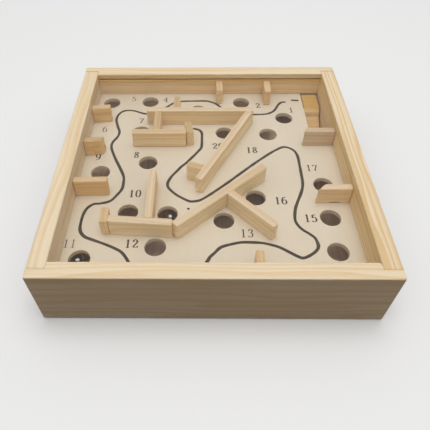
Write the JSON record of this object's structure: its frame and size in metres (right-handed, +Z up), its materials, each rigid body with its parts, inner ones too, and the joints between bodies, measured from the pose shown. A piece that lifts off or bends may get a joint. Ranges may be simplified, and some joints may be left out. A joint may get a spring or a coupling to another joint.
{
  "type": "wooden maze game",
  "caption": "Square wooden tray with a raised, numbered play board full of ball holes, glued wall strips, a return ramp and loose steel balls below a clear cover.",
  "frame": {"origin": "centre of the underside, where the box rests on the table", "axes": "+X to the right and +Y to the back as the numbers are read, +Z up out of the open top"},
  "size_m": [0.114, 0.114, 0.025],
  "materials": {
    "pine": "planed, unvarnished",
    "base_wood": "plain thin board",
    "printed_board": "smooth, with numbers and a path line printed in dark grey",
    "pale_strip": "sawn, unvarnished",
    "tan_strip": "sawn, unvarnished",
    "grey_strip": "sawn, weathered",
    "ramp_wood": "sawn, unvarnished",
    "steel": "polished",
    "clear_plastic": "clear, glossy"
  },
  "bodies": {
    "box": {"front_rail": "pine", "back_rail": "pine", "left_rail": "pine", "right_rail": "pine", "base_panel": "base_wood", "play_board": "printed_board", "clear_cover": "clear_plastic", "return_ramp": "ramp_wood", "long_back_wall": "pale_strip", "long_diagonal_wall": "pale_strip", "short_link_wall": "pale_strip", "left_inner_wall": "pale_strip", "diagonal_side_stub": "pale_strip", "end_stop_wall": "pale_strip", "back_middle_tab": "pale_strip", "back_right_tab": "pale_strip", "long_back_wall_stub": "pale_strip", "middle_left_wall": "pale_strip", "front_left_end_wall": "pale_strip", "right_front_stub": "pale_strip", "front_tab": "pale_strip", "left_back_stub": "tan_strip", "left_middle_stub_outer": "tan_strip", "left_middle_stub_inner": "tan_strip", "left_front_stub": "tan_strip", "front_left_wall": "tan_strip", "front_diagonal_wall": "tan_strip", "front_diagonal_branch": "tan_strip", "right_back_stub": "grey_strip"},
    "first_ball": {"first_steel_ball": "steel"},
    "second_ball": {"second_steel_ball": "steel"}
  },
  "joints": [
    {"name": "first_ball_roll", "type": "slide", "parent": "box", "child": "first_ball", "axis": [1, 0, 0], "range_m": [-0.0323, 0.0631]},
    {"name": "second_ball_roll", "type": "slide", "parent": "box", "child": "second_ball", "axis": [0, 1, 0], "range_m": [-0.00971, 0.08569]}
  ]
}
